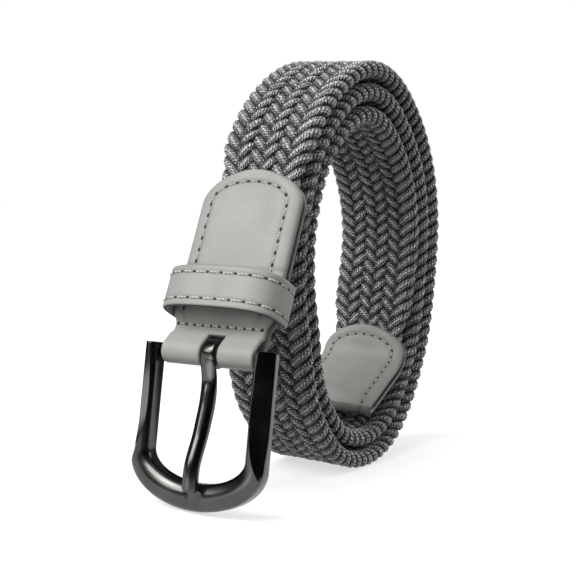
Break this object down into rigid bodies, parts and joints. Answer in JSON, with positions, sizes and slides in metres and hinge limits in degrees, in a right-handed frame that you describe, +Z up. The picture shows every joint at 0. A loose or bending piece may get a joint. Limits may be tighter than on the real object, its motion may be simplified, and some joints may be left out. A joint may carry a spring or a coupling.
{
  "type": "stretch belt",
  "caption": "Stretch belt of braided elastic, wound into an upright coil, with a leather tab, keeper loop and prong buckle at one end and a leather tip at the other.",
  "frame": {"origin": "on the floor, in the middle of the flat patch on which the coil stands, half way across the strap", "axes": "+X across the strap, along the coil's axis; -Y forward, to the buckle; +Z up"},
  "size_m": [0.0474, 0.1548, 0.1451],
  "materials": {
    "braid": "matte",
    "leather": "satin",
    "buckle": "polished"
  },
  "bodies": {
    "strap": {"braided_strap": "braid", "tab_leather": "leather", "keeper_loop": "leather", "tip_leather": "leather"},
    "frame": {"buckle_frame": "buckle"},
    "prong": {"buckle_prong": "buckle"}
  },
  "joints": [
    {"name": "frame_hinge", "type": "hinge", "parent": "strap", "child": "frame", "pos_m": [0.0023, -0.09036, 0.04666], "axis": [-0.9992, -0.0155, -0.037], "range_deg": [-40, 45]},
    {"name": "prong_hinge", "type": "hinge", "parent": "frame", "child": "prong", "pos_m": [0.0023, -0.09036, 0.04666], "axis": [-0.9992, -0.0155, -0.037], "range_deg": [0, 85]}
  ]
}
